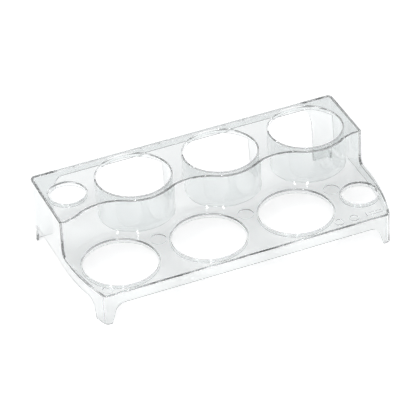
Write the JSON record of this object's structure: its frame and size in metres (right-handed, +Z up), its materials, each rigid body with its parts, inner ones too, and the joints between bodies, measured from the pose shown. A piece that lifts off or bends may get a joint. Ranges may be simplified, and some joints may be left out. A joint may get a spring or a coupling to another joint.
{
  "type": "two-tier holder rack",
  "caption": "Clear moulded two-tier rack with open round holes in a low front deck and a high rear deck, a wavy step wall between them, thin skirts and short corner legs.",
  "frame": {"origin": "on the floor under the middle of the rack's bounding box", "axes": "+X along the length, +Y to the back where the high deck is, +Z up"},
  "size_m": [0.176, 0.088, 0.04],
  "materials": {
    "clear_polystyrene": "polished clear"
  },
  "bodies": {
    "root": {"back_left_leg": "clear_polystyrene", "back_rail": "clear_polystyrene", "back_right_leg": "clear_polystyrene", "front_left_leg": "clear_polystyrene", "front_right_leg": "clear_polystyrene", "front_skirt": "clear_polystyrene", "hole_guard_1": "clear_polystyrene", "hole_guard_2": "clear_polystyrene", "hole_guard_3": "clear_polystyrene", "left_side_panel": "clear_polystyrene", "left_skirt": "clear_polystyrene", "lower_collar_1": "clear_polystyrene", "lower_collar_2": "clear_polystyrene", "lower_collar_3": "clear_polystyrene", "lower_deck": "clear_polystyrene", "lower_small_collar": "clear_polystyrene", "moulded_marks": "clear_polystyrene", "right_side_panel": "clear_polystyrene", "right_skirt": "clear_polystyrene", "step_wall": "clear_polystyrene", "upper_collar_1": "clear_polystyrene", "upper_collar_2": "clear_polystyrene", "upper_collar_3": "clear_polystyrene", "upper_deck": "clear_polystyrene", "upper_small_collar": "clear_polystyrene"}
  },
  "joints": []
}
